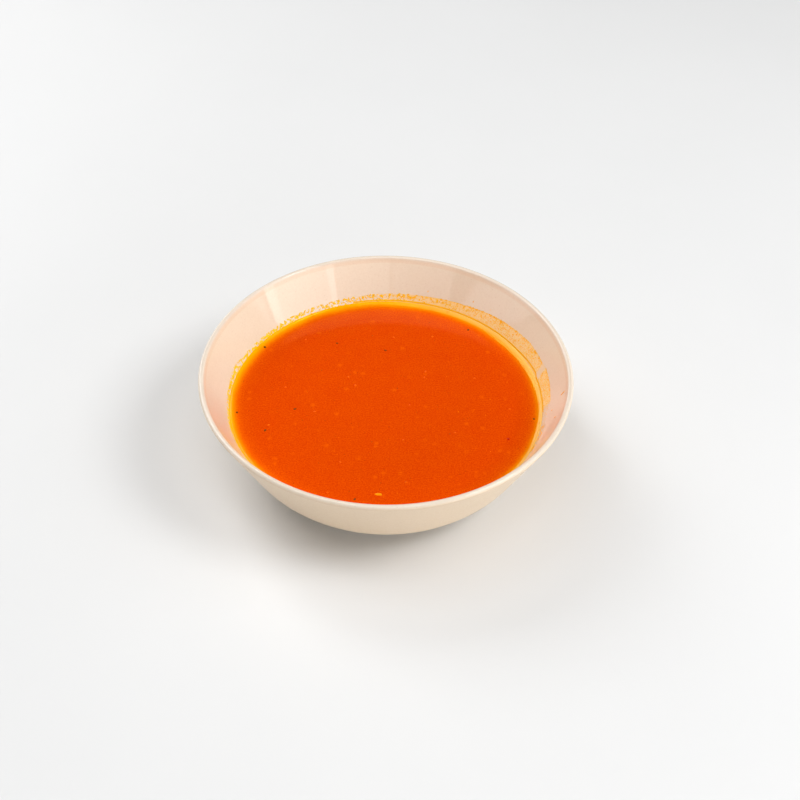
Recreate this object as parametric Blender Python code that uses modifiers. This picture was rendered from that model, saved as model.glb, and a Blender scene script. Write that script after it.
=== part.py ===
"""A round bowl filled with smooth orange-red soup.

The bowl is one turned piece of plant-fibre plastic: a foot ring, a shallow base that sweeps up
through a wide curve into a straight flared wall, and a full-round lip. The soup is one solid that
fills the bowl up to its level, with the liquid climbing a little at the wall. Small bits of spice
and vegetable float half sunk in its surface and are joined to it.

Metres, +Z up. The origin is the middle of the underside, where the bowl stands. The front of the
bowl, as it is served, faces -Y.
"""

import math
import random

import bmesh
import bpy
from mathutils import Matrix, Vector

# Driving sizes of the bowl.
RIM_RADIUS = 0.095
HEIGHT = 0.057
WALL = 0.0030  # thickness at the lip and in the base
OUTER_SLOPE = math.radians(63.2)  # of the outside of the straight flared wall, above the horizontal
INNER_SLOPE = math.radians(62.0)  # of its inside, so that the wall thickens on the way down
BASE_CURVE_RADIUS = 0.034  # of the outer sweep from the base into the wall
FOOT_RADIUS = 0.0462
FOOT_WIDTH = 0.0030
FOOT_HEIGHT = 0.0020
FOOT_EDGE = 0.0004  # the small chamfer on both edges of the foot ring
UNDERSIDE_DOME = 0.0004  # how much the middle of the underside is drawn up

# Driving sizes of the soup.
SOUP_DROP = 0.0240  # from the top of the rim down to the soup's surface
MENISCUS_RISE = 0.0020
CAPILLARY_LENGTH = 0.0020
GAP = 0.0003  # between the soup and the bowl, which only touch

# How finely the turned pieces are cut into flats.
TURN_STEPS = 80
LIP_STEPS = (3, 5, 2)  # inside to top, top to the widest point, and on to the outer wall
CURVE_STEPS = 9
WALL_STEPS = 3
EDGE_RINGS = (4.5, 3.0, 2.0, 1.2, 0.6, 0.25, 0.0)  # of the soup, in capillary lengths from the wall

# The bits that show from a step away: kind, angle round the bowl and distance from its middle.
# Angles run anticlockwise from +X, seen from above.
PLACED_BITS = (
    ("vegetable", 268.0, 0.0640),
    ("pepper", 147.5, 0.0785),
    ("pepper", 186.5, 0.0770),
    ("pepper", 54.0, 0.0745),
    ("chilli", 339.0, 0.0670),
    ("pepper", 91.5, 0.0420),
    ("pepper", 199.0, 0.0645),
    ("pepper", 186.0, 0.0470),
    ("pepper", 120.0, 0.0545),
    ("pepper", 353.0, 0.0770),
    ("pepper", 258.5, 0.0690),
    ("crumb", 135.0, 0.0285),
    ("crumb", 46.5, 0.0290),
    ("crumb", 86.5, 0.0530),
)
# Half the length, half the breadth and half the thickness of each kind.
BIT_SIZES = {
    "vegetable": (0.0023, 0.0013, 0.0008),
    "pepper": (0.0009, 0.0006, 0.0005),
    "chilli": (0.0012, 0.0008, 0.0005),
    "crumb": (0.0008, 0.0006, 0.0005),
}
SCATTERED_CRUMBS = 16
SCATTER_RADIUS = 0.070
SCATTER_SEED = 11
BIT_CLEARANCE = 0.004  # between the middles of two bits
BIT_ROUGHNESS = 0.22  # how far a bit's corners stray, as a share of its size
BIT_SUNK = 0.35  # the share of a bit's half thickness that its middle lies below the surface

SOUP_LEVEL = HEIGHT - SOUP_DROP
OUTER_NORMAL = OUTER_SLOPE - math.radians(90)  # which way the outside of the wall faces
INNER_NORMAL = INNER_SLOPE + math.radians(90)
SWEEP_HEIGHT = FOOT_HEIGHT + BASE_CURVE_RADIUS  # of the centres of both sweeps
LIP_CENTRE = Vector((RIM_RADIUS - WALL / 2, HEIGHT - WALL / 2))
GOLDEN_ANGLE = math.pi * (3 - math.sqrt(5))


def arc(centre, radius, start, end, steps):
    """Points of an arc in the (r, z) plane, both ends included."""
    angles = (start + (end - start) * i / steps for i in range(steps + 1))
    return [centre + radius * Vector((math.cos(a), math.sin(a))) for a in angles]


def radius_of_line(normal, reach, z):
    """Radius, at a height, of the line that lies reach from the lip's centre along its normal."""
    return LIP_CENTRE.x + (reach - (z - LIP_CENTRE.y) * math.sin(normal)) / math.cos(normal)


def inner_radius(z, inset=0.0):
    """Radius of the straight inner wall at a height, moved in square to the wall by inset."""
    return radius_of_line(INNER_NORMAL, WALL / 2 + inset, z)


def inner_sweep(inset=0.0):
    """The inside of the bowl from the middle of its floor to the foot of its straight wall."""
    radius = BASE_CURVE_RADIUS - WALL
    centre_radius = radius_of_line(INNER_NORMAL, WALL / 2 + radius, SWEEP_HEIGHT)
    centre = Vector((centre_radius, SWEEP_HEIGHT))
    end = INNER_NORMAL - math.pi
    return [
        Vector((0.0, SWEEP_HEIGHT - radius + inset)),
        *arc(centre, radius - inset, math.radians(-90), end, CURVE_STEPS),
    ]


def outer_sweep():
    """The outside of the bowl from the foot of its straight wall down to near its underside."""
    centre_radius = radius_of_line(OUTER_NORMAL, WALL / 2 - BASE_CURVE_RADIUS, SWEEP_HEIGHT)
    centre = Vector((centre_radius, SWEEP_HEIGHT))
    return arc(centre, BASE_CURVE_RADIUS, OUTER_NORMAL, math.radians(-84), CURVE_STEPS)


def straight(start, end, steps):
    """The points between two ends, without the ends."""
    return [start.lerp(end, i / steps) for i in range(1, steps)]


def full_round_lip():
    """From the inner wall over the top of the rim and its widest point to the outer wall."""
    stops = (INNER_NORMAL, math.pi / 2, 0.0, OUTER_NORMAL)
    stretches = [
        arc(LIP_CENTRE, WALL / 2, start, end, steps)
        for start, end, steps in zip(stops, stops[1:], LIP_STEPS)
    ]
    return stretches[0] + stretches[1][1:] + stretches[2][1:]


def bowl_section():
    """Half the bowl's section: up the inside, over the lip, down the outside, under the foot."""
    inside = inner_sweep()
    lip = full_round_lip()
    outside = outer_sweep()
    foot_inside = FOOT_RADIUS - FOOT_WIDTH
    foot = [
        Vector((FOOT_RADIUS, outside[-1].y)),
        Vector((FOOT_RADIUS, FOOT_EDGE)),
        Vector((FOOT_RADIUS - FOOT_EDGE, 0.0)),
        Vector((foot_inside + FOOT_EDGE, 0.0)),
        Vector((foot_inside, FOOT_EDGE)),
        Vector((foot_inside, FOOT_HEIGHT)),
        Vector((0.0, FOOT_HEIGHT + UNDERSIDE_DOME)),
    ]
    return [
        *inside,
        *straight(inside[-1], lip[0], WALL_STEPS),
        *lip,
        *straight(lip[-1], outside[0], WALL_STEPS),
        *outside,
        *foot,
    ]


def contact_radius():
    """Radius of the line where the soup's surface meets the wall."""
    return inner_radius(SOUP_LEVEL + MENISCUS_RISE, GAP)


def surface_height(r):
    """Height of the soup's surface, which climbs towards the wall that it wets."""
    return SOUP_LEVEL + MENISCUS_RISE * math.exp((r - contact_radius()) / CAPILLARY_LENGTH)


def soup_section():
    """Half the soup's section: out along the surface, up to the wall, then down and in."""
    radii = [contact_radius() - CAPILLARY_LENGTH * distance for distance in EDGE_RINGS]
    surface = [Vector((r, surface_height(r))) for r in radii]
    sweep = inner_sweep(GAP)[::-1]
    return [
        Vector((0.0, SOUP_LEVEL)),
        *surface,
        *straight(surface[-1], sweep[0], WALL_STEPS),
        *sweep,
    ]


def turned(name, section, material, collection):
    """An object turned about +Z from half a section, which runs down its outer side."""
    mesh = bpy.data.meshes.new(name)
    points = [(p.x, 0.0, p.y) for p in section]
    mesh.from_pydata(points, [(i, i + 1) for i in range(len(points) - 1)], [])
    obj = bpy.data.objects.new(name, mesh)
    collection.objects.link(obj)
    screw = obj.modifiers.new("Turn", "SCREW")
    screw.axis = "Z"
    screw.steps = TURN_STEPS
    screw.render_steps = TURN_STEPS
    screw.use_merge_vertices = True
    screw.merge_threshold = 1e-5
    screw.use_smooth_shade = True
    mesh.materials.append(material)
    return obj


def bit(name, kind, place, turn, rng, collection):
    """A bit of spice or vegetable: a rough pebble lying half sunk in the surface."""
    half = Vector(BIT_SIZES[kind])
    shape = bmesh.new()
    bmesh.ops.create_icosphere(shape, subdivisions=1, radius=1.0)
    for vertex in shape.verts:
        vertex.co *= 1 + BIT_ROUGHNESS * rng.uniform(-1, 1)
    bmesh.ops.scale(shape, vec=half, verts=shape.verts)
    bmesh.ops.rotate(shape, matrix=Matrix.Rotation(turn, 3, "Z"), verts=shape.verts)
    mesh = bpy.data.meshes.new(name)
    shape.to_mesh(mesh)
    shape.free()
    obj = bpy.data.objects.new(name, mesh)
    obj.location = (place.x, place.y, surface_height(place.length) - BIT_SUNK * half.z)
    collection.objects.link(obj)


def bit_places(rng):
    """Kind and place of every bit: those set by hand, then crumbs spread over the surface."""
    places = []
    for kind, angle, distance in PLACED_BITS:
        a = math.radians(angle)
        places.append((kind, Vector((distance * math.cos(a), distance * math.sin(a)))))
    for i in range(SCATTERED_CRUMBS):
        distance = SCATTER_RADIUS * math.sqrt((i + 0.5) / SCATTERED_CRUMBS)
        a = i * GOLDEN_ANGLE + rng.uniform(-0.3, 0.3)
        place = Vector((distance * math.cos(a), distance * math.sin(a)))
        if all((place - other).length > BIT_CLEARANCE for _, other in places):
            places.append(("crumb", place))
    return places


def join_bits(soup):
    """Joins the floating bits to the soup with one union, then removes them."""
    bits = bpy.data.collections.new("soup_bits")
    bpy.context.scene.collection.children.link(bits)
    rng = random.Random(SCATTER_SEED)
    for i, (kind, place) in enumerate(bit_places(rng)):
        bit(f"bit_{i:02d}", kind, place, rng.uniform(0, math.pi), rng, bits)
    union = soup.modifiers.new("Bits", "BOOLEAN")
    union.operation = "UNION"
    union.operand_type = "COLLECTION"
    union.collection = bits
    union.solver = "EXACT"
    bpy.context.view_layer.update()
    joined = bpy.data.meshes.new_from_object(
        soup.evaluated_get(bpy.context.evaluated_depsgraph_get())
    )
    soup.modifiers.clear()
    soup.data = joined
    joined.name = soup.name
    for obj in list(bits.objects):
        bpy.data.objects.remove(obj)
    bpy.data.collections.remove(bits)


def finish(name, colour, roughness):
    """A Principled material of one plain colour."""
    material = bpy.data.materials.new(name)
    material.use_nodes = True
    shader = material.node_tree.nodes["Principled BSDF"]
    shader.inputs["Base Color"].default_value = (*colour, 1.0)
    shader.inputs["Roughness"].default_value = roughness
    shader.inputs["Metallic"].default_value = 0.0
    return material


for old in list(bpy.data.objects):
    bpy.data.objects.remove(old)

part = bpy.data.collections.new("bowl_of_soup")
bpy.context.scene.collection.children.link(part)

plant_plastic = finish("plant_plastic", (0.85, 0.66, 0.50), 0.35)
soup_liquid = finish("soup_liquid", (0.80, 0.07, 0.003), 0.15)

turned("bowl", bowl_section(), plant_plastic, part)
join_bits(turned("soup", soup_section(), soup_liquid, part))
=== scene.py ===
import math
import random

import bpy
from mathutils import Matrix, Vector, noise


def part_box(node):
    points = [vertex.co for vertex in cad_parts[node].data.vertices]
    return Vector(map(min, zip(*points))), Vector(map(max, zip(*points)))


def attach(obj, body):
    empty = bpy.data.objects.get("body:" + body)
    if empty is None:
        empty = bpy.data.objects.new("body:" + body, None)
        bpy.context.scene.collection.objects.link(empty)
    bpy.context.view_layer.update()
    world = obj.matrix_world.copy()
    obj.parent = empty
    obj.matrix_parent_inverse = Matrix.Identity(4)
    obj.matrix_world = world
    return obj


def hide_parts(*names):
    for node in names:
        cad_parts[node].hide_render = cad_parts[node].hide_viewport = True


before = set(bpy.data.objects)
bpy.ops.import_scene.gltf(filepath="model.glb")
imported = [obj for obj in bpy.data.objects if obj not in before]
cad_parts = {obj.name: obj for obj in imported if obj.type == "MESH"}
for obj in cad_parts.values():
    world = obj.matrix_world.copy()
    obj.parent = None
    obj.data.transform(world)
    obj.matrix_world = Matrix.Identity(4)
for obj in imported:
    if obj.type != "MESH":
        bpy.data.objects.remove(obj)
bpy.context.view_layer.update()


# The bowl.
# One moulded piece of plant-fibre plastic, pale peach with a fine fleck of fibre in it, satin on
# the outside and glossier inside.
# It is turned from its section as on a lathe: foot ring, sweep, straight flared wall, round lip.

_, bowl_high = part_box("bowl")
rim_radius = bowl_high.x
bowl_height = bowl_high.z
wall = 0.0030
outer_slope = math.radians(63.2)
inner_slope = math.radians(62.0)
sweep_radius = 0.034
foot_radius = 0.0462
foot_width = 0.0030
foot_height = 0.0020
foot_rounding = 0.0004
underside_dome = 0.0004
hub_radius = 0.004  # of the small disc that each turned piece starts from
round_steps = 256

outer_normal = outer_slope - math.radians(90)  # which way the outside of the wall faces, in (r, z)
inner_normal = inner_slope + math.radians(90)
lip_centre = Vector((rim_radius - wall / 2, bowl_height - wall / 2))
sweep_height = foot_height + sweep_radius  # of the centres of the inner and the outer sweep


def radius_of_line(normal, reach, height):
    """Radius, at a height, of the line that lies reach from the lip's centre along its normal."""
    return lip_centre.x + (reach - (height - lip_centre.y) * math.sin(normal)) / math.cos(normal)


def inner_wall_radius(height, inset=0.0):
    """Radius of the straight inner wall at a height, moved in square to the wall by inset."""
    return radius_of_line(inner_normal, wall / 2 + inset, height)


def rounded(centre, radius, start, end, steps):
    """Points along an arc of the section, angles in radians, both ends included."""
    angles = [start + (end - start) * i / steps for i in range(steps + 1)]
    return [centre + radius * Vector((math.cos(a), math.sin(a))) for a in angles]


def evenly(start, end, steps):
    """The points between two points of the section, without the ends."""
    return [start.lerp(end, i / steps) for i in range(1, steps)]


def turn_on_lathe(name, section):
    """A closed turned piece: a disc at the section's start, its edge drawn out ring by ring."""
    bpy.ops.object.select_all(action="DESELECT")
    start = section[0]
    bpy.ops.mesh.primitive_circle_add(
        vertices=round_steps, radius=start.x, fill_type="TRIFAN", location=(0, 0, start.y)
    )
    piece = bpy.context.active_object
    piece.name = name
    piece.data.name = name
    bpy.ops.object.transform_apply(location=True, rotation=True, scale=True)
    bpy.ops.object.mode_set(mode="EDIT")
    bpy.ops.mesh.select_mode(type="EDGE")
    bpy.ops.mesh.select_all(action="DESELECT")
    bpy.ops.mesh.select_non_manifold(
        extend=False, use_wire=False, use_boundary=True, use_multi_face=False,
        use_non_contiguous=False, use_verts=False,
    )
    for before, point in zip(section, section[1:]):
        bpy.ops.mesh.extrude_region_move(
            TRANSFORM_OT_translate={"value": (0, 0, point.y - before.y)}
        )
        growth = point.x / before.x
        bpy.ops.transform.resize(
            value=(growth, growth, 1), center_override=(0, 0, point.y)
        )
    bpy.ops.mesh.merge(type="CENTER")
    bpy.ops.mesh.select_all(action="SELECT")
    bpy.ops.mesh.remove_doubles(threshold=1e-6)
    bpy.ops.mesh.normals_make_consistent(inside=False)
    bpy.ops.object.mode_set(mode="OBJECT")
    bpy.ops.object.shade_smooth_by_angle(angle=math.radians(35))
    return piece


def floor_of_bowl(inset=0.0):
    """The inside from near the middle of the floor up the sweep to the foot of the wall."""
    radius = sweep_radius - wall
    centre = Vector((radius_of_line(inner_normal, wall / 2 + radius, sweep_height), sweep_height))
    sweep = rounded(centre, radius - inset, math.radians(-90), inner_normal - math.pi, 26)
    return [*evenly(Vector((hub_radius, sweep[0].y)), sweep[0], 10), *sweep]


foot_inside = foot_radius - foot_width
foot_bottom_out = Vector((foot_radius - foot_rounding, foot_rounding))
foot_bottom_in = Vector((foot_inside + foot_rounding, foot_rounding))
outer_reach = radius_of_line(outer_normal, wall / 2 - sweep_radius, sweep_height)
outer_centre = Vector((outer_reach, sweep_height))
foot_joint = math.radians(-84)  # where the outer sweep leaves the foot ring
under_curve = rounded(outer_centre, sweep_radius, foot_joint, outer_normal, 28)
floor_curve = floor_of_bowl()
lip = rounded(lip_centre, wall / 2, outer_normal, inner_normal, 20)
bowl_section = [
    Vector((hub_radius, foot_height + underside_dome)),
    Vector((foot_inside * 0.5, foot_height + underside_dome * 0.6)),
    Vector((foot_inside - foot_rounding, foot_height + underside_dome * 0.1)),
    Vector((foot_inside, foot_height - foot_rounding)),
    *rounded(foot_bottom_in, foot_rounding, math.radians(180), math.radians(270), 4),
    *rounded(foot_bottom_out, foot_rounding, math.radians(-90), 0.0, 4),
    *under_curve,
    *evenly(under_curve[-1], lip[0], 14),
    *lip,
    *evenly(lip[-1], floor_curve[-1], 14),
    *floor_curve[::-1],
]
bowl_piece = turn_on_lathe("bowl_body", bowl_section)
inside_layer = bowl_piece.data.attributes.new("inside", "FLOAT", "POINT")
for i, point in enumerate(bowl_piece.data.vertices):
    middle_of_wall = radius_of_line(inner_normal, 0.0, point.co.z)
    depth = (middle_of_wall - point.co.xy.length) / wall
    inside_layer.data[i].value = min(1.0, max(0.0, 0.5 + depth))


def new_material(name):
    """A material with nodes, its tree and its Principled shader."""
    material = bpy.data.materials.new(name)
    material.use_nodes = True
    tree = material.node_tree
    return material, tree, tree.nodes["Principled BSDF"]


def add_node(tree, kind, **settings):
    """A node, with its properties or, by socket name, its inputs set."""
    node = tree.nodes.new(kind)
    for key, value in settings.items():
        if hasattr(node, key):
            setattr(node, key, value)
        else:
            node.inputs[key].default_value = value
    return node


def build_grain_group():
    """Fine mottling in the mass of a material, as colour, cloudiness and height."""
    group = bpy.data.node_groups.new("fine_mottle", "ShaderNodeTree")
    sockets = group.interface
    fineness = sockets.new_socket("Fineness", in_out="INPUT", socket_type="NodeSocketFloat")
    fineness.default_value = 1000.0
    cloud_size = sockets.new_socket("Clouds", in_out="INPUT", socket_type="NodeSocketFloat")
    cloud_size.default_value = 60.0
    sockets.new_socket("Grain", in_out="OUTPUT", socket_type="NodeSocketFloat")
    sockets.new_socket("Cloud", in_out="OUTPUT", socket_type="NodeSocketFloat")
    put_in = group.nodes.new("NodeGroupInput")
    put_out = group.nodes.new("NodeGroupOutput")
    place = group.nodes.new("ShaderNodeTexCoord")
    grain = add_node(group, "ShaderNodeTexNoise", Detail=3.0, Roughness=0.6)
    cloud = add_node(group, "ShaderNodeTexNoise", Detail=4.0, Roughness=0.55)
    for pattern, size in ((grain, "Fineness"), (cloud, "Clouds")):
        group.links.new(place.outputs["Object"], pattern.inputs["Vector"])
        group.links.new(put_in.outputs[size], pattern.inputs["Scale"])
    group.links.new(grain.outputs["Fac"], put_out.inputs["Grain"])
    group.links.new(cloud.outputs["Fac"], put_out.inputs["Cloud"])
    return group


mottle = build_grain_group()


def add_mottle(tree, fineness, clouds):
    """The fine mottling, placed in a material with its own sizes, per metre."""
    node = tree.nodes.new("ShaderNodeGroup")
    node.node_tree = mottle
    node.inputs["Fineness"].default_value = fineness
    node.inputs["Clouds"].default_value = clouds
    return node


def blend_colours(tree, amount, first, second):
    """A colour mix whose amount comes from a socket; each colour is a socket or a plain colour."""
    mix = tree.nodes.new("ShaderNodeMix")
    mix.data_type = "RGBA"
    tree.links.new(amount, mix.inputs["Factor"])
    for label, colour in (("A", first), ("B", second)):
        socket = next(s for s in mix.inputs if s.name == label and s.type == "RGBA")
        if isinstance(colour, tuple):
            socket.default_value = (*colour, 1.0)
        else:
            tree.links.new(colour, socket)
    return next(s for s in mix.outputs if s.type == "RGBA")


def tint_colour(tree, colour, amount, first, second):
    """A colour multiplied by a tint that runs between two as the amount goes from 0 to 1."""
    mix = tree.nodes.new("ShaderNodeMix")
    mix.data_type = "RGBA"
    mix.blend_type = "MULTIPLY"
    mix.inputs["Factor"].default_value = 1.0
    base, tint = (s for s in mix.inputs if s.type == "RGBA")
    tree.links.new(colour, base)
    tree.links.new(blend_colours(tree, amount, first, second), tint)
    return next(s for s in mix.outputs if s.type == "RGBA")


def rescale(tree, value, low, high, to_low=0.0, to_high=1.0):
    """A clamped change of range of a socket's value."""
    step = add_node(tree, "ShaderNodeMapRange", clamp=True)
    tree.links.new(value, step.inputs["Value"])
    for label, number in (
        ("From Min", low), ("From Max", high), ("To Min", to_low), ("To Max", to_high)
    ):
        step.inputs[label].default_value = number
    return step.outputs["Result"]


def raise_relief(tree, shader, height, distance, strength=1.0):
    """A bump from a height socket, into the shader's normal."""
    bump = add_node(tree, "ShaderNodeBump", Strength=strength, Distance=distance)
    tree.links.new(height, bump.inputs["Height"])
    tree.links.new(bump.outputs["Normal"], shader.inputs["Normal"])


peach, tree, shader = new_material("peach_plant_plastic")
grain = add_mottle(tree, fineness=900.0, clouds=35.0)
place = tree.nodes.new("ShaderNodeTexCoord")
flecks = add_node(tree, "ShaderNodeTexVoronoi", Scale=420.0)
tree.links.new(place.outputs["Object"], flecks.inputs["Vector"])
fleck_mask = rescale(tree, flecks.outputs["Distance"], 0.05, 0.16, 0.35, 0.0)
inside = add_node(tree, "ShaderNodeAttribute", attribute_name="inside").outputs["Fac"]
two_sided = blend_colours(tree, inside, (0.840, 0.670, 0.488), (0.808, 0.685, 0.524))
apart = tree.nodes.new("ShaderNodeSeparateXYZ")
tree.links.new(place.outputs["Object"], apart.inputs["Vector"])
height = apart.outputs["Z"]
# Painted light on the lip: its round flanks are painted darker and warmer as painted shade, and its
# top paler and whiter as a painted highlight.
lip_side = rescale(tree, height, bowl_height - wall, bowl_height - wall * 0.8)
lip_top = rescale(tree, height, bowl_height - wall * 0.5, bowl_height - wall * 0.1)
lip_painted_shade = blend_colours(tree, lip_side, two_sided, (0.790, 0.630, 0.460))
lip_painted_light = blend_colours(tree, lip_top, lip_painted_shade, (0.775, 0.665, 0.550))
tinted = tint_colour(
    tree, lip_painted_light, grain.outputs["Cloud"], (0.98, 0.98, 0.975), (1.01, 1.01, 1.015)
)
grained = tint_colour(
    tree, tinted, rescale(tree, grain.outputs["Grain"], 0.35, 0.65),
    (1.0, 1.0, 1.0), (0.97, 0.955, 0.94),
)
flecked = blend_colours(tree, fleck_mask, grained, (0.60, 0.42, 0.28))
tree.links.new(flecked, shader.inputs["Base Color"])
tree.links.new(
    rescale(tree, grain.outputs["Grain"], 0.3, 0.7, 0.34, 0.42), shader.inputs["Roughness"]
)
shader.inputs["Metallic"].default_value = 0.0
shader.inputs["IOR"].default_value = 1.48
coated = add_node(tree, "ShaderNodeMath", operation="MAXIMUM")
tree.links.new(rescale(tree, inside, 0.0, 1.0, 0.12, 0.65), coated.inputs[0])
tree.links.new(rescale(tree, lip_top, 0.0, 1.0, 0.0, 0.90), coated.inputs[1])
tree.links.new(coated.outputs[0], shader.inputs["Coat Weight"])
shader.inputs["Specular IOR Level"].default_value = 0.25
shader.inputs["Coat Roughness"].default_value = 0.06
raise_relief(tree, shader, grain.outputs["Grain"], distance=0.00001, strength=0.4)
bowl_piece.data.materials.append(peach)

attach(bowl_piece, "root")
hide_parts("bowl")


# The soup.
# A smooth orange-red puree. Its surface climbs a little at the wall that it wets, and thins out
# there to yellow. The piece fills the bowl and reaches just into the wall, so no gap shows.

soup_level = bowl_height - 0.0240
meniscus_rise = 0.0020
capillary_length = 0.0020
cad_gap = 0.0003  # between the solid soup and the wall
into_wall = 0.0002  # how far this soup reaches into the wall instead
contact_height = soup_level + meniscus_rise
contact_radius = inner_wall_radius(contact_height, cad_gap)


def surface_height(radius):
    """Height of the soup's surface, which climbs towards the wall."""
    return soup_level + meniscus_rise * math.exp((radius - contact_radius) / capillary_length)


edge_radius = inner_wall_radius(contact_height, -into_wall)
open_surface = [0.003 + 0.0035 * i for i in range(19)]
near_wall = [contact_radius - capillary_length * d / 6 for d in range(27, 0, -1)]
surface = [Vector((r, surface_height(r))) for r in (*open_surface, *near_wall, contact_radius)]
soup_floor = floor_of_bowl(-into_wall)
soup_section = [
    *surface,
    Vector((edge_radius, contact_height + 0.0001)),
    *evenly(Vector((edge_radius, contact_height)), soup_floor[-1], 6),
    *soup_floor[::-1],
]
soup_piece = turn_on_lathe("soup_body", soup_section)

puree, tree, shader = new_material("orange_red_puree")
grain = add_mottle(tree, fineness=1300.0, clouds=90.0)
place = tree.nodes.new("ShaderNodeTexCoord")
flat_place = add_node(tree, "ShaderNodeVectorMath", operation="MULTIPLY")
flat_place.inputs[1].default_value = (1.0, 1.0, 0.0)
tree.links.new(place.outputs["Object"], flat_place.inputs[0])
from_middle = add_node(tree, "ShaderNodeVectorMath", operation="LENGTH")
tree.links.new(flat_place.outputs["Vector"], from_middle.inputs[0])
wobble = add_node(tree, "ShaderNodeTexNoise", Scale=55.0, Detail=2.0)
tree.links.new(place.outputs["Object"], wobble.inputs["Vector"])
uneven = add_node(tree, "ShaderNodeMath", operation="ADD")
tree.links.new(from_middle.outputs["Value"], uneven.inputs[0])
tree.links.new(rescale(tree, wobble.outputs["Fac"], 0.2, 0.8, -0.0005, 0.0005), uneven.inputs[1])
thinning = add_node(tree, "ShaderNodeValToRGB")
stops = thinning.color_ramp.elements
ramp_start = 0.0690
ramp_end = 0.0810
edge_colours = (
    (0.0690, (0.730, 0.0600, 0.0004)),
    (0.0740, (0.780, 0.0740, 0.0004)),
    (0.0760, (0.840, 0.0980, 0.0004)),
    (0.0770, (0.880, 0.1350, 0.0004)),
    (0.0780, (0.920, 0.2000, 0.0004)),
    (0.0790, (0.960, 0.3000, 0.0006)),
    (0.0800, (0.970, 0.4100, 0.0010)),
    (0.0810, (0.970, 0.4600, 0.0040)),
)
while len(stops) < len(edge_colours):
    stops.new(0.5)
for stop, (radius, colour) in zip(stops, edge_colours):
    stop.position = (radius - ramp_start) / (ramp_end - ramp_start)
    stop.color = (*colour, 1.0)
tree.links.new(rescale(tree, uneven.outputs[0], ramp_start, ramp_end), thinning.inputs["Fac"])


def soft_spots(tree, place, scale, reach, chosen):
    """A mask of soft round spots, one to a cell of a scatter, kept in a chosen share of cells."""
    cells = add_node(tree, "ShaderNodeTexVoronoi", Scale=scale)
    tree.links.new(place, cells.inputs["Vector"])
    pick = tree.nodes.new("ShaderNodeSeparateColor")
    tree.links.new(cells.outputs["Color"], pick.inputs["Color"])
    spot = rescale(tree, cells.outputs["Distance"], reach * 0.35, reach, 1.0, 0.0)
    kept = rescale(tree, pick.outputs["Red"], 1.0 - chosen, 1.0 - chosen * 0.6)
    mask = add_node(tree, "ShaderNodeMath", operation="MULTIPLY")
    tree.links.new(spot, mask.inputs[0])
    tree.links.new(kept, mask.inputs[1])
    return mask.outputs[0]


clouded = tint_colour(
    tree, thinning.outputs["Color"], rescale(tree, grain.outputs["Cloud"], 0.3, 0.7),
    (0.99, 0.95, 1.0), (1.01, 1.06, 1.0),
)
grainy = tint_colour(
    tree, clouded, rescale(tree, grain.outputs["Grain"], 0.32, 0.68),
    (0.89, 0.58, 0.8), (1.08, 1.46, 1.0),
)
pulpy = blend_colours(
    tree, rescale(tree, from_middle.outputs["Value"], 0.0740, 0.0785, 0.0, 0.8), grainy, clouded
)
pulp_mask = soft_spots(tree, place.outputs["Object"], scale=240.0, reach=0.42, chosen=0.12)
dark_mask = soft_spots(tree, place.outputs["Object"], scale=520.0, reach=0.22, chosen=0.10)
pulp_spots = rescale(tree, pulp_mask, 0.0, 1.0, 0.0, 0.32)
dark_spots = rescale(tree, dark_mask, 0.0, 1.0, 0.0, 0.5)
across = tree.nodes.new("ShaderNodeSeparateXYZ")
tree.links.new(place.outputs["Object"], across.inputs["Vector"])
# Painted highlight: on the right of the bowl the soup's outermost edge, where it climbs the wall,
# is painted paler, as the sheen of light on it.
sunlit = add_node(tree, "ShaderNodeMath", operation="MULTIPLY")
tree.links.new(rescale(tree, across.outputs["X"], 0.0, 0.05, 0.0, 0.9), sunlit.inputs[0])
tree.links.new(rescale(tree, from_middle.outputs["Value"], 0.0788, 0.0802), sunlit.inputs[1])
edge_highlight_painted = blend_colours(tree, sunlit.outputs[0], pulpy, (0.98, 0.52, 0.11))
spotted = blend_colours(tree, pulp_spots, edge_highlight_painted, (0.95, 0.160, 0.0010))
puree_colour = blend_colours(tree, dark_spots, spotted, (0.36, 0.045, 0.0060))
tree.links.new(puree_colour, shader.inputs["Base Color"])
tree.links.new(
    rescale(tree, grain.outputs["Grain"], 0.3, 0.7, 0.07, 0.15), shader.inputs["Roughness"]
)
shader.inputs["Metallic"].default_value = 0.0
shader.inputs["IOR"].default_value = 1.48
shader.inputs["Specular IOR Level"].default_value = 0.5
shader.inputs["Specular Tint"].default_value = (1.0, 0.55, 0.05, 1.0)
raise_relief(tree, shader, grain.outputs["Grain"], distance=0.00001, strength=0.5)
soup_piece.data.materials.append(puree)

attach(soup_piece, "root")
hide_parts("soup")


# The bits that float in the soup.
# One yellow bit of vegetable near the front, dark pepper, a dark red flake of chilli and pale
# orange crumbs of pulp, each half sunk in the surface, at the places of the solids they stand for.

placed_bits = (
    ("vegetable", 268.0, 0.0640),
    ("pepper", 147.5, 0.0785),
    ("pepper", 186.5, 0.0770),
    ("pepper", 54.0, 0.0745),
    ("chilli", 339.0, 0.0670),
    ("pepper", 91.5, 0.0420),
    ("pepper", 199.0, 0.0645),
    ("pepper", 186.0, 0.0470),
    ("pepper", 120.0, 0.0545),
    ("pepper", 353.0, 0.0770),
    ("pepper", 258.5, 0.0690),
    ("crumb", 135.0, 0.0285),
    ("crumb", 46.5, 0.0290),
    ("crumb", 86.5, 0.0530),
)
half_sizes = {
    "vegetable": (0.0023, 0.0013, 0.0008),
    "pepper": (0.0009, 0.0006, 0.0005),
    "chilli": (0.0012, 0.0008, 0.0005),
    "crumb": (0.0008, 0.0006, 0.0005),
}
scattered_crumbs = 16
scatter_radius = 0.070
bit_clearance = 0.004
bit_roughness = 0.22
bit_sunk = 0.35
golden_angle = math.pi * (3 - math.sqrt(5))
draw = random.Random(11)


def round_the_bowl(radius, angle):
    """A point over the table at a radius and an angle from +X."""
    return Vector((radius * math.cos(angle), radius * math.sin(angle)))


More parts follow.
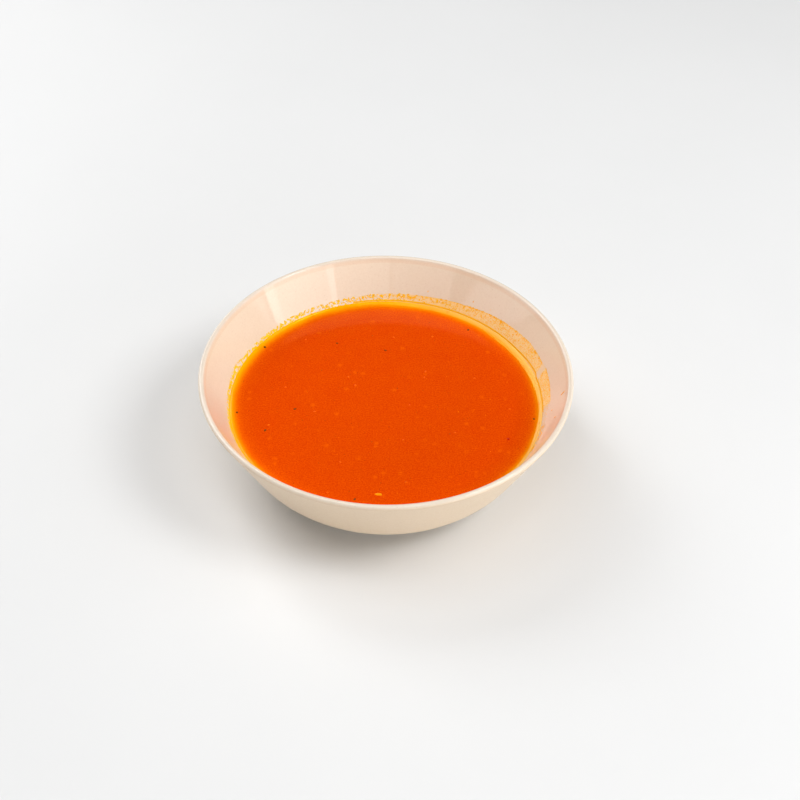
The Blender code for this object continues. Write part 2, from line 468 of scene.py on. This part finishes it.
def bit_places():
    """Kind and place of every bit: those set by hand, then crumbs spread over the surface."""
    places = [
        (kind, round_the_bowl(radius, math.radians(angle)))
        for kind, angle, radius in placed_bits
    ]
    for i in range(scattered_crumbs):
        radius = scatter_radius * math.sqrt((i + 0.5) / scattered_crumbs)
        place = round_the_bowl(radius, i * golden_angle + draw.uniform(-0.3, 0.3))
        if all((place - other).length > bit_clearance for _, other in places):
            places.append(("crumb", place))
    return places


def model_bit(name, kind, place, turn):
    """A rough pebble: an icosphere whose corners stray, cut finer and rounded a little."""
    half = half_sizes[kind]
    bpy.ops.object.select_all(action="DESELECT")
    bpy.ops.mesh.primitive_ico_sphere_add(subdivisions=1, radius=1.0)
    piece = bpy.context.active_object
    piece.name = name
    for corner in piece.data.vertices:
        corner.co *= 1 + bit_roughness * draw.uniform(-1, 1)
    bpy.ops.object.mode_set(mode="EDIT")
    bpy.ops.mesh.select_all(action="SELECT")
    bpy.ops.mesh.subdivide(number_cuts=3, smoothness=0.35, fractal=0.25, seed=int(turn * 1000))
    bpy.ops.object.mode_set(mode="OBJECT")
    piece.scale = half
    piece.rotation_euler.z = turn
    height = surface_height(place.length) - bit_sunk * half[2]
    piece.location = (place.x, place.y, height)
    bpy.ops.object.transform_apply(location=True, rotation=True, scale=True)
    bpy.ops.object.shade_smooth_by_angle(angle=math.radians(50))
    return piece


def join_pieces(name, pieces):
    """Joins pieces into the first one, under one name."""
    bpy.ops.object.select_all(action="DESELECT")
    for piece in pieces:
        piece.select_set(True)
    bpy.context.view_layer.objects.active = pieces[0]
    if len(pieces) > 1:
        bpy.ops.object.join()
    whole = bpy.context.view_layer.objects.active
    whole.name = name
    whole.data.name = name
    return whole


def bit_material(name, pale, dark, roughness):
    """Flesh of a bit, mottled between two colours."""
    material, tree, shader = new_material(name)
    grain = add_mottle(tree, fineness=2500.0, clouds=900.0)
    colour = blend_colours(
        tree, rescale(tree, grain.outputs["Cloud"], 0.35, 0.65), pale, dark
    )
    tree.links.new(colour, shader.inputs["Base Color"])
    tree.links.new(
        rescale(tree, grain.outputs["Grain"], 0.3, 0.7, roughness, roughness + 0.15),
        shader.inputs["Roughness"],
    )
    shader.inputs["Specular IOR Level"].default_value = 0.2
    shader.inputs["Specular Tint"].default_value = (1.0, 0.55, 0.05, 1.0)
    raise_relief(tree, shader, grain.outputs["Grain"], distance=0.00005)
    return material


bits = {kind: [] for kind in half_sizes}
for i, (kind, place) in enumerate(bit_places()):
    bits[kind].append(model_bit(f"{kind}_{i:02d}", kind, place, draw.uniform(0, math.pi)))

bit_looks = {
    "vegetable": ("vegetable_bit", (0.98, 0.36, 0.004), (0.95, 0.24, 0.002), 0.3),
    "pepper": ("pepper_bits", (0.24, 0.060, 0.006), (0.10, 0.022, 0.003), 0.5),
    "chilli": ("chilli_flake", (0.58, 0.012, 0.001), (0.42, 0.007, 0.001), 0.3),
    "crumb": ("pulp_crumbs", (0.90, 0.125, 0.001), (0.85, 0.085, 0.001), 0.35),
}
for kind, (name, pale, dark, roughness) in bit_looks.items():
    piece = join_pieces(name, bits[kind])
    piece.data.materials.append(bit_material(name, pale, dark, roughness))
    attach(piece, "root")


# The fine flecks on the soup.
# Tiny pale flecks of pulp and dark specks of spice, most under half a millimetre, lying flat in
# the surface. One small flake is modelled for each and copied over the soup.


def strew(name, sample, places):
    """One piece of realized copies of a sample; each place is a point, a turn and a size."""
    mesh = bpy.data.meshes.new(name)
    mesh.from_pydata([point for point, _, _ in places], [], [])
    for label, column in (("turn", 1), ("size", 2)):
        values = mesh.attributes.new(label, "FLOAT_VECTOR", "POINT")
        values.data.foreach_set("vector", [x for place in places for x in place[column]])
    piece = bpy.data.objects.new(name, mesh)
    bpy.context.scene.collection.objects.link(piece)
    tree = bpy.data.node_groups.new(f"{name}_copies", "GeometryNodeTree")
    tree.interface.new_socket("Geometry", in_out="INPUT", socket_type="NodeSocketGeometry")
    tree.interface.new_socket("Geometry", in_out="OUTPUT", socket_type="NodeSocketGeometry")
    put_in = tree.nodes.new("NodeGroupInput")
    put_out = tree.nodes.new("NodeGroupOutput")
    shape = tree.nodes.new("GeometryNodeObjectInfo")
    shape.inputs["Object"].default_value = sample
    copies = tree.nodes.new("GeometryNodeInstanceOnPoints")
    turn = add_node(tree, "GeometryNodeInputNamedAttribute", data_type="FLOAT_VECTOR", Name="turn")
    size = add_node(tree, "GeometryNodeInputNamedAttribute", data_type="FLOAT_VECTOR", Name="size")
    euler = tree.nodes.new("FunctionNodeEulerToRotation")
    real = tree.nodes.new("GeometryNodeRealizeInstances")
    tree.links.new(put_in.outputs[0], copies.inputs["Points"])
    tree.links.new(shape.outputs["Geometry"], copies.inputs["Instance"])
    tree.links.new(turn.outputs["Attribute"], euler.inputs["Euler"])
    tree.links.new(euler.outputs["Rotation"], copies.inputs["Rotation"])
    tree.links.new(size.outputs["Attribute"], copies.inputs["Scale"])
    tree.links.new(copies.outputs["Instances"], real.inputs["Geometry"])
    tree.links.new(real.outputs["Geometry"], put_out.inputs[0])
    modifier = piece.modifiers.new("Copies", "NODES")
    modifier.node_group = tree
    bpy.ops.object.select_all(action="DESELECT")
    piece.select_set(True)
    bpy.context.view_layer.objects.active = piece
    bpy.ops.object.modifier_apply(modifier=modifier.name)
    bpy.data.node_groups.remove(tree)
    bpy.data.objects.remove(sample)
    return piece


def small_dome(name, segments, rings):
    """A closed dome of unit radius on a flat base, the sample of a fleck or a drop."""
    bpy.ops.object.select_all(action="DESELECT")
    bpy.ops.mesh.primitive_uv_sphere_add(segments=segments, ring_count=rings, radius=1.0)
    piece = bpy.context.active_object
    piece.name = name
    bpy.ops.object.mode_set(mode="EDIT")
    bpy.ops.mesh.select_all(action="SELECT")
    bpy.ops.mesh.bisect(
        plane_co=(0, 0, -0.05), plane_no=(0, 0, 1), use_fill=True, clear_inner=True
    )
    bpy.ops.object.mode_set(mode="OBJECT")
    bpy.ops.object.shade_smooth_by_angle(angle=math.radians(60))
    return piece


fleck_radius = 0.076  # out to which the flecks are spread
fleck_thickness = 0.12  # of a fleck's length


def fleck_places(count, small, large):
    """Places of flecks spread over the soup, larger ones rarer, each turned at random."""
    places = []
    for i in range(count):
        radius = fleck_radius * math.sqrt(draw.random())
        spot = round_the_bowl(radius, draw.uniform(0, 2 * math.pi))
        length = small + (large - small) * draw.random() ** 3
        point = (spot.x, spot.y, surface_height(radius))
        breadth = length * draw.uniform(0.5, 0.9)
        places.append(
            (point, (0, 0, draw.uniform(0, math.pi)), (length, breadth, length * fleck_thickness))
        )
    return places


fleck_kinds = (
    ("pale_flecks", 50, 0.00012, 0.00036, (0.95, 0.28, 0.002), (0.93, 0.18, 0.001), 0.50),
    ("spice_specks", 70, 0.00012, 0.00036, (0.30, 0.04, 0.004), (0.14, 0.02, 0.003), 0.45),
)
for name, count, small, large, pale, dark, roughness in fleck_kinds:
    flake = small_dome(f"{name}_sample", 7, 6)
    flake.data.materials.append(bit_material(name, pale, dark, roughness))
    piece = strew(name, flake, fleck_places(count, small, large))
    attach(piece, "root")


# The film of soup on the wall.
# Where the soup has washed up the wall it leaves a thin grainy smear with a crisp upper edge and
# a dried line where the soup once stood. Drops lie on it, and in a belt along the bare wall.

film_edge = (  # angle round the bowl, and height of the film's upper edge above the table
    (216, 0.0352),
    (205, 0.0361),
    (195, 0.0367),
    (185, 0.0370),
    (172, 0.0377),
    (165, 0.0388),
    (158, 0.0373),
    (140, 0.0370),
    (130, 0.0376),
    (110, 0.0380),
    (90, 0.0390),
    (75, 0.0394),
    (60, 0.0404),
    (45, 0.0420),
    (27, 0.0431),
    (16, 0.0428),
    (12.5, 0.0434),
    (5, 0.0426),
    (-1, 0.0418),
    (-4, 0.0414),
    (-6, 0.0396),
    (-14, 0.0395),
    (-20, 0.0385),
    (-27, 0.0370),
    (-34, 0.0352),
)


def film_top(angle):
    """Height of the film's upper edge at an angle in degrees."""
    for (high, start), (low, end) in zip(film_edge, film_edge[1:]):
        if low <= angle <= high:
            share = (high - angle) / (high - low)
            return start + (end - start) * share
    return contact_height


def on_wall(angle, height, lift=0.0):
    """A point of the inner wall at an angle in degrees, lifted off it by lift."""
    spot = round_the_bowl(inner_wall_radius(height, lift), math.radians(angle))
    return Vector((spot.x, spot.y, height))


def flat_on_wall(angle, spin):
    """The turn that lays a drop flat on the wall, spun about the wall's own normal."""
    a = math.radians(angle)
    tangent = Vector((math.sin(a), -math.cos(a), 0))
    normal = Vector((
        -math.sin(inner_slope) * math.cos(a),
        -math.sin(inner_slope) * math.sin(a),
        math.cos(inner_slope),
    ))
    turned = Matrix((tangent, normal.cross(tangent), normal)).transposed()
    return (turned @ Matrix.Rotation(spin, 3, "Z")).to_euler()


line_heights = (  # angle, and height of the dried line where the soup once stood
    (104, 0.0356),
    (85, 0.0357),
    (30, 0.0357),
    (23, 0.0363),
    (16, 0.0366),
    (14, 0.0357),
    (-4, 0.0353),
    (-45, 0.0353),
)
smear_start = 104.0  # degrees
smear_end = -4.0
smear_gap = 14.2  # where the smear is almost wiped away
gap_reach = 0.8
gap_fade = 2.0
gap_cover = 0.35
start_fade = 34.0
end_fade = 1.5
smear_columns = 540
smear_rows = 20
smear_lift = 0.00003
smear_thickness = 0.00002
fray_height = 0.00022
fray_rate = 0.9  # per degree
smear_layers = ("cover", "above_line", "below_edge")  # the last two in millimetres


def line_height(angle):
    """Height of the dried line at an angle in degrees."""
    for (high, start), (low, end) in zip(line_heights, line_heights[1:]):
        if low <= angle <= high:
            return start + (end - start) * (high - angle) / (high - low)
    return contact_height


def smear_cover(angle):
    """How much of the wall's colour the smear hides at an angle, from 0 to 1."""
    fade_in = (smear_start - angle) / start_fade
    gap = gap_cover + (abs(angle - smear_gap) - gap_reach) / gap_fade
    fade_out = (angle - smear_end) / end_fade
    return max(0.0, min(1.0, fade_in, max(gap_cover, gap), fade_out))


def model_smear():
    """A thin strip of film: a grid laid on the wall from the soup's edge to the film's edge."""
    bpy.ops.object.select_all(action="DESELECT")
    bpy.ops.mesh.primitive_grid_add(
        x_subdivisions=smear_columns, y_subdivisions=smear_rows, size=1.0
    )
    piece = bpy.context.active_object
    piece.name = "film_smear"
    piece.data.name = "film_smear"
    layers = [piece.data.attributes.new(label, "FLOAT", "POINT") for label in smear_layers]
    cover, above_line, below_edge = layers
    for i, point in enumerate(piece.data.vertices):
        along = point.co.x + 0.5
        up = point.co.y + 0.5
        angle = smear_start + (smear_end - smear_start) * along
        fray = fray_height * noise.noise(Vector((angle * fray_rate, 0.3, 0.7)))
        top = film_top(angle) + fray
        height = contact_height + (top - contact_height) * up
        point.co = on_wall(angle, height, smear_lift)
        cover.data[i].value = smear_cover(angle)
        above_line.data[i].value = (height - line_height(angle)) * 1000
        below_edge.data[i].value = (top - height) * 1000
    return piece


smear_piece = model_smear()
smear_piece.modifiers.new("Thickness", "SOLIDIFY").thickness = smear_thickness
bpy.ops.object.modifier_apply(modifier="Thickness")
bpy.ops.object.shade_smooth_by_angle(angle=math.radians(40))

film, tree, shader = new_material("thin_soup_film")
grain = add_mottle(tree, fineness=1400.0, clouds=260.0)
cover, above_line, below_edge = (
    add_node(tree, "ShaderNodeAttribute", attribute_name=label) for label in smear_layers
)
grains = rescale(tree, grain.outputs["Grain"], 0.46, 0.60)
grained_film = blend_colours(tree, grains, (0.98, 0.68, 0.31), (0.98, 0.56, 0.045))
patches = rescale(tree, grain.outputs["Cloud"], 0.42, 0.62, 0.0, 0.6)
patchy = blend_colours(tree, patches, grained_film, (0.98, 0.69, 0.34))
near_edge = rescale(tree, below_edge.outputs["Fac"], 0.0, 0.6, 0.75, 0.0)
edged = blend_colours(tree, near_edge, patchy, (0.98, 0.54, 0.018))
over_line = rescale(tree, above_line.outputs["Fac"], 0.35, 1.20, 1.0, 0.0)
bared = blend_colours(tree, over_line, edged, (0.99, 0.66, 0.26))
spread = blend_colours(tree, cover.outputs["Fac"], (0.804, 0.676, 0.512), bared)
on_line = rescale(tree, above_line.outputs["Fac"], 0.25, 0.50, 1.0, 0.0)
lined = blend_colours(tree, on_line, spread, (1.0, 0.48, 0.006))
under_line = rescale(tree, above_line.outputs["Fac"], -0.55, -0.35, 1.0, 0.0)
film_colour = blend_colours(tree, under_line, lined, (1.0, 0.63, 0.210))
tree.links.new(film_colour, shader.inputs["Base Color"])
shader.inputs["Roughness"].default_value = 0.25
shader.inputs["IOR"].default_value = 1.34
smear_piece.data.materials.append(film)
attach(smear_piece, "root")

# Each belt of drops: from and to angle, from and to share of the way from the soup's edge up to
# the film's edge, how many are tried, and the smallest and largest drop, as half its breadth.
drop_belts = (
    (214, 170, 0.34, 0.82, 620, 0.00022, 0.00050),
    (170, 136, 0.24, 0.80, 620, 0.00022, 0.00050),
    (214, 136, 0.34, 1.00, 1200, 0.00014, 0.00034),
    (214, 136, 0.00, 0.50, 1500, 0.00016, 0.00040),
    (136, 104, 0.34, 1.00, 720, 0.00016, 0.00044),
    (136, 104, 0.00, 0.50, 520, 0.00014, 0.00036),
    (104, 60, 0.55, 1.00, 560, 0.00014, 0.00044),
    (104, 60, 0.26, 0.80, 420, 0.00014, 0.00040),
    (60, 16, 0.88, 1.00, 420, 0.00014, 0.00038),
    (60, 16, 0.20, 0.92, 620, 0.00012, 0.00034),
    (12.5, -3, 0.85, 1.00, 160, 0.00014, 0.00034),
    (12.5, -4, 0.10, 0.90, 240, 0.00012, 0.00036),
    (-3, -5, 0.10, 1.00, 50, 0.00012, 0.00034),
    (-5, -13, 0.10, 0.95, 90, 0.00012, 0.00030),
    (-13, -27, 0.05, 1.00, 360, 0.00018, 0.00044),
)
# The drops along the dried line: from and to angle, how many, smallest and largest half breadth.
line_drops = (
    (104, 12, 300, 0.00020, 0.00046),
    (104, -4, 260, 0.00014, 0.00026),
    (18, -4, 60, 0.00026, 0.00056),
    (-4, -45, 70, 0.00010, 0.00024),
)
line_scatter = 0.00022
drop_rise = 0.26  # of a drop's half breadth
stray_rise = 0.5
clump_size = 0.0012
clump_share = -0.02  # the noise level above which a drop stays, which leaves the drops in clumps
stray_drops = (  # angle, height, half breadth and half height
    (75.2, 0.0420, 0.00025, 0.0006),
    (57.1, 0.0435, 0.00030, 0.0006),
    (49.4, 0.0436, 0.00018, 0.0004),
    (43.3, 0.0401, 0.00040, 0.0008),
    (35.6, 0.0416, 0.00030, 0.0005),
    (12.5, 0.0402, 0.00038, 0.0006),
    (-6.0, 0.0519, 0.00040, 0.0022),
    (-9.0, 0.0436, 0.00030, 0.0007),
    (-15.4, 0.0484, 0.00030, 0.0011),
)


def drop_lift(angle):
    """How far a drop stands off the wall: it lies on the smear where there is one."""
    return smear_lift if smear_end < angle < smear_start else 0.0


def drop_places():
    """Point, turn and size of every drop on the wall."""
    places = []
    for start, end, low, high, count, small, large in drop_belts:
        for _ in range(count):
            angle = draw.uniform(end, start)
            share = draw.uniform(low, high)
            height = contact_height + (film_top(angle) - contact_height) * share
            half = small + (large - small) * draw.random() ** 1.6
            turn = flat_on_wall(angle, draw.uniform(-0.5, 0.5))
            size = (half, half * draw.uniform(0.9, 1.4), half * drop_rise)
            point = on_wall(angle, height, drop_lift(angle))
            if noise.noise(point / clump_size) > clump_share:
                places.append((point, turn, size))
    for start, end, count, small, large in line_drops:
        for _ in range(count):
            angle = draw.uniform(end, start)
            half = small + (large - small) * draw.random()
            turn = flat_on_wall(angle, draw.uniform(-0.5, 0.5))
            size = (half * draw.uniform(1.0, 1.6), half, half * drop_rise)
            height = line_height(angle) + line_scatter * draw.uniform(-1, 1)
            places.append((on_wall(angle, height, drop_lift(angle)), turn, size))
    for angle, height, half_breadth, half_height in stray_drops:
        size = (half_breadth, half_height, half_breadth * stray_rise)
        places.append((on_wall(angle, height), flat_on_wall(angle, 0.0), size))
    return places


amber, tree, shader = new_material("drops_of_soup")
grain = add_mottle(tree, fineness=1800.0, clouds=420.0)
place = tree.nodes.new("ShaderNodeTexCoord")
across = tree.nodes.new("ShaderNodeSeparateXYZ")
tree.links.new(place.outputs["Object"], across.inputs["Vector"])
# Painted light: the drops are painted lighter and yellower on the left of the bowl, where the light
# falls strongest, and darker orange towards the right.
painted_shade_to_right = rescale(tree, across.outputs["X"], -0.05, 0.07)
amber_painted_light = blend_colours(tree, painted_shade_to_right, (0.98, 0.64, 0.008), (1.0, 0.46, 0.004))
deeper = rescale(tree, grain.outputs["Cloud"], 0.35, 0.65, 0.0, 0.4)
drop_colour = blend_colours(tree, deeper, amber_painted_light, (0.98, 0.43, 0.003))
tree.links.new(drop_colour, shader.inputs["Base Color"])
shader.inputs["Roughness"].default_value = 0.35
shader.inputs["Specular IOR Level"].default_value = 0.3
shader.inputs["IOR"].default_value = 1.34
drop = small_dome("drop_sample", 6, 4)
drop.data.materials.append(amber)
drops_piece = strew("film_drops", drop, drop_places())
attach(drops_piece, "root")


# The table, the light and the view.
# A plain pale table top. Soft boxes stand for the high light from the right, the low window whose
# reflection streaks the inside of the bowl, and the room. The camera stands as for the photo.

table_width = 2.4
panel_distance = 1.5
bowl_middle = Vector((0, 0, 0.04))  # what the panels face
room_glow = 0.02
backdrop_glow = 0.85  # of the room where the camera looks straight at it, past the table

bpy.ops.object.select_all(action="DESELECT")
bpy.ops.mesh.primitive_grid_add(
    x_subdivisions=8, y_subdivisions=8, size=table_width, location=(0, 0, 0)
)
table = bpy.context.active_object
table.name = "table_top"
white, tree, shader = new_material("pale_table")
grain = add_mottle(tree, fineness=260.0, clouds=3.0)
table_colour = blend_colours(
    tree, rescale(tree, grain.outputs["Cloud"], 0.3, 0.7),
    (0.740, 0.742, 0.741), (0.768, 0.770, 0.769),
)
tree.links.new(table_colour, shader.inputs["Base Color"])
shader.inputs["Roughness"].default_value = 0.6
shader.inputs["Specular IOR Level"].default_value = 0.3
table.data.materials.append(white)


def add_panel(name, azimuth, elevation, spread, radiance):
    """A soft box that faces the bowl, by its direction and its spread across and up, in degrees."""
    a = math.radians(azimuth)
    e = math.radians(elevation)
    across, up = (2 * panel_distance * math.tan(math.radians(angle / 2)) for angle in spread)
    light = bpy.data.lights.new(name, "AREA")
    light.shape = "RECTANGLE"
    light.size = across * math.cos(e)
    light.size_y = up
    light.energy = radiance * math.pi * light.size * light.size_y
    lamp = bpy.data.objects.new(name, light)
    bpy.context.scene.collection.objects.link(lamp)
    away = Vector((math.cos(a) * math.cos(e), math.sin(a) * math.cos(e), math.sin(e)))
    lamp.location = bowl_middle + panel_distance * away
    lamp.rotation_euler = away.to_track_quat("Z", "Y").to_euler()
    lamp.visible_camera = False


add_panel("window", -33.5, 12, (45, 20), 3.55)
add_panel("window_edge_right", -14.3, 12, (6.5, 20), 2.4)
add_panel("window_edge_left", -54, 12, (4, 20), 2.4)
add_panel("right_wall", 8, 14, (34, 16), 1.5)
add_panel("back_right_wall", 43, 14, (32, 16), 2.2)
add_panel("back_left_low", 125, 18, (28, 20), 3.0)
add_panel("back_left_high", 131, 45, (20, 30), 6.2)
add_panel("back_left_mid", 155, 38, (28, 28), 3.0)
add_panel("left_low", 155, 9, (32, 10), 0.7)
add_panel("left_front_low", 200, 9, (56, 10), 2.0)
add_panel("front_low_left", 248, 17, (38, 12), 1.5)
add_panel("front_low_right", 286, 17, (34, 12), 2.1)
add_panel("left_high", 180, 55, (40, 18), 0.5)
add_panel("key", -20, 49, (28, 22), 10.8)
add_panel("key_side", 5, 42, (24, 26), 2.0)
add_panel("overhead_left", 180, 72, (70, 24), 2.8)
add_panel("overhead_front", 270, 72, (70, 24), 3.2)

room = bpy.data.worlds.new("pale_room")
room.use_nodes = True
backdrop = room.node_tree.nodes["Background"]
backdrop.inputs["Color"].default_value = (1.0, 1.0, 1.0, 1.0)
looked_at = room.node_tree.nodes.new("ShaderNodeLightPath").outputs["Is Camera Ray"]
seen_strength = rescale(room.node_tree, looked_at, 0.0, 1.0, room_glow, backdrop_glow)
room.node_tree.links.new(seen_strength, backdrop.inputs["Strength"])
bpy.context.scene.world = room
bpy.context.scene.view_settings.view_transform = "Standard"

# The camera stands where the rim, lip and soup lines of the photo put it.
view_down = math.radians(43.33)
view_roll = math.radians(1.08)
view_depth = 0.7621  # along the view, to the middle of the rim's widest circle
focal_pixels = 1500.0
picture_pixels = 800.0
rim_in_picture = (386.2, 372.0)

tilt = Matrix((
    (1, 0, 0),
    (0, -math.sin(view_down), -math.cos(view_down)),
    (0, math.cos(view_down), -math.sin(view_down)),
))
seen = Matrix.Rotation(view_roll, 3, "Z") @ tilt  # world axes, seen as right, down and forward
half_picture = picture_pixels / 2
rim_middle = view_depth * Vector((
    (rim_in_picture[0] - half_picture) / focal_pixels,
    (rim_in_picture[1] - half_picture) / focal_pixels,
    1.0,
))
right, down, forward = seen
camera_data = bpy.data.cameras.new("camera")
camera_data.sensor_width = 36.0
camera_data.lens = camera_data.sensor_width * focal_pixels / picture_pixels
camera_data.clip_start = 0.01
camera_data.clip_end = 50.0
camera = bpy.data.objects.new("camera", camera_data)
bpy.context.scene.collection.objects.link(camera)
stand = Matrix((right, -down, -forward)).transposed().to_4x4()
stand.translation = Vector((0, 0, lip_centre.y)) - seen.transposed() @ rim_middle
camera.matrix_world = stand
bpy.context.scene.camera = camera
